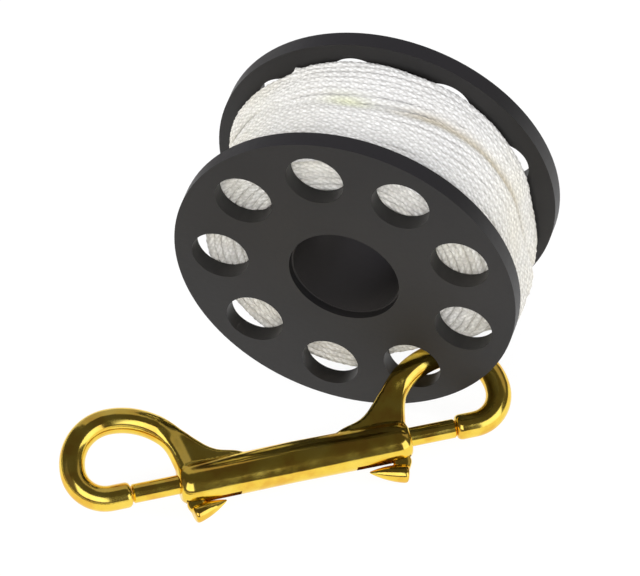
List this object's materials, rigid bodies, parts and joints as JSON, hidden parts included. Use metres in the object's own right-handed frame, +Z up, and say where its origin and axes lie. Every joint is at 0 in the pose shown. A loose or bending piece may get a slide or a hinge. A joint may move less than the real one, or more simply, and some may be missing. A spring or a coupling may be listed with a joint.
{
  "type": "finger spool",
  "caption": "Finger spool: drilled flanges on a hub tube, a full winding of white braided line, and a double-ended bolt snap clipped through a flange hole.",
  "frame": {"origin": "middle of the finger bore, half way between the flanges' outer faces", "axes": "+Y along the bore from the front flange, which the snap is clipped to, to the rear one; +Z up with the spool standing on its rims; +X to the right seen from the front"},
  "size_m": [0.093, 0.0914, 0.08],
  "materials": {
    "flange_plastic": "fine satin, turned and drilled",
    "line": "braided nylon, slightly worn",
    "brass": "polished",
    "spring_steel": "drawn wire"
  },
  "bodies": {
    "spool": {"front_flange": "flange_plastic", "rear_flange": "flange_plastic", "hub_tube": "flange_plastic", "line_core": "line", "line_winding": "line"},
    "snap": {"snap_body": "brass", "spring_left": "spring_steel", "spring_right": "spring_steel"},
    "left_bolt": {"bolt_left": "brass", "thumb_knob_left": "brass"},
    "right_bolt": {"bolt_right": "brass", "thumb_knob_right": "brass"}
  },
  "joints": [
    {"name": "snap_swing", "type": "hinge", "parent": "spool", "child": "snap", "pos_m": [0.024, -0.018, -0.03], "axis": [0, 0, 1], "range_deg": [0, 40]},
    {"name": "left_bolt_slide", "type": "slide", "parent": "snap", "child": "left_bolt", "axis": [0.8443, 0.5358, 0], "range_m": [0, 0.008], "stiffness_N_per_m": 250, "springref_m": -0.006, "deforming": ["spring_left"]},
    {"name": "right_bolt_slide", "type": "slide", "parent": "snap", "child": "right_bolt", "axis": [-0.8443, -0.5358, 0], "range_m": [0, 0.008], "stiffness_N_per_m": 250, "springref_m": -0.006, "deforming": ["spring_right"]}
  ]
}
